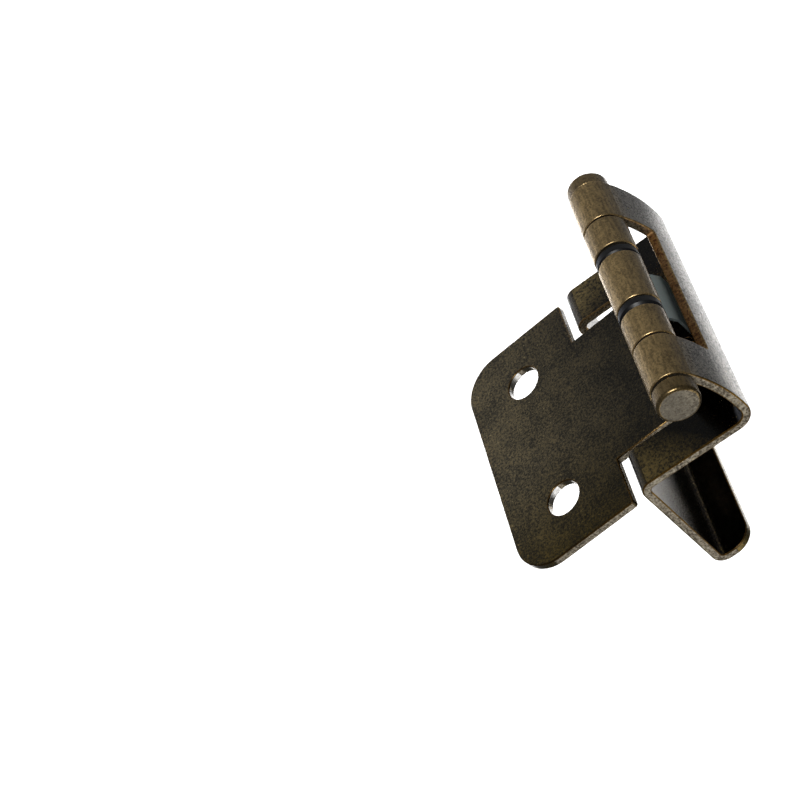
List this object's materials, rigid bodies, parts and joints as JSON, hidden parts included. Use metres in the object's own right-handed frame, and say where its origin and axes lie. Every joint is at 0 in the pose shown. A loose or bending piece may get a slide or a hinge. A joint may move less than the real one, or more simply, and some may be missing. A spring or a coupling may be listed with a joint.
{
  "type": "self-closing cabinet hinge",
  "caption": "Full-wrap self-closing face-frame cabinet hinge of folded sheet: a frame leaf that hooks around the stile and an overlay door leaf swing on a button-headed pin, with a leaf spring.",
  "frame": {"origin": "middle of the frame screw slot, on the plate's face that lies against the stile", "axes": "+X into the cabinet's opening, +Y into the cabinet's depth, +Z along the hinge pin; at rest the spring holds the door leaf on the window's edge, 4.7 degrees past in line with the ledge"},
  "size_m": [0.0426, 0.0395, 0.0501],
  "materials": {
    "frame_leaf": "antique brass plating on folded steel, darkened and relieved",
    "door_leaf": "antique brass plating on folded steel, darkened and relieved",
    "hinge_pin": "antique brass plating on a turned pin",
    "pin_button": "antique brass plating on a turned button",
    "upper_ring": "glossy black moulding",
    "lower_ring": "glossy black moulding",
    "leaf_spring": "rolled spring steel strip"
  },
  "bodies": {
    "frame_side": {"frame_leaf": "frame_leaf", "hinge_pin": "hinge_pin", "pin_button": "pin_button", "leaf_spring": "leaf_spring"},
    "door_side": {"door_leaf": "door_leaf", "upper_ring": "upper_ring", "lower_ring": "lower_ring"}
  },
  "joints": [
    {"name": "door_swing", "type": "hinge", "parent": "frame_side", "child": "door_side", "pos_m": [-0.01293, -0.0246, 0], "axis": [0, 0, -1], "range_deg": [0, 155], "stiffness_Nm_per_rad": 0.05}
  ]
}
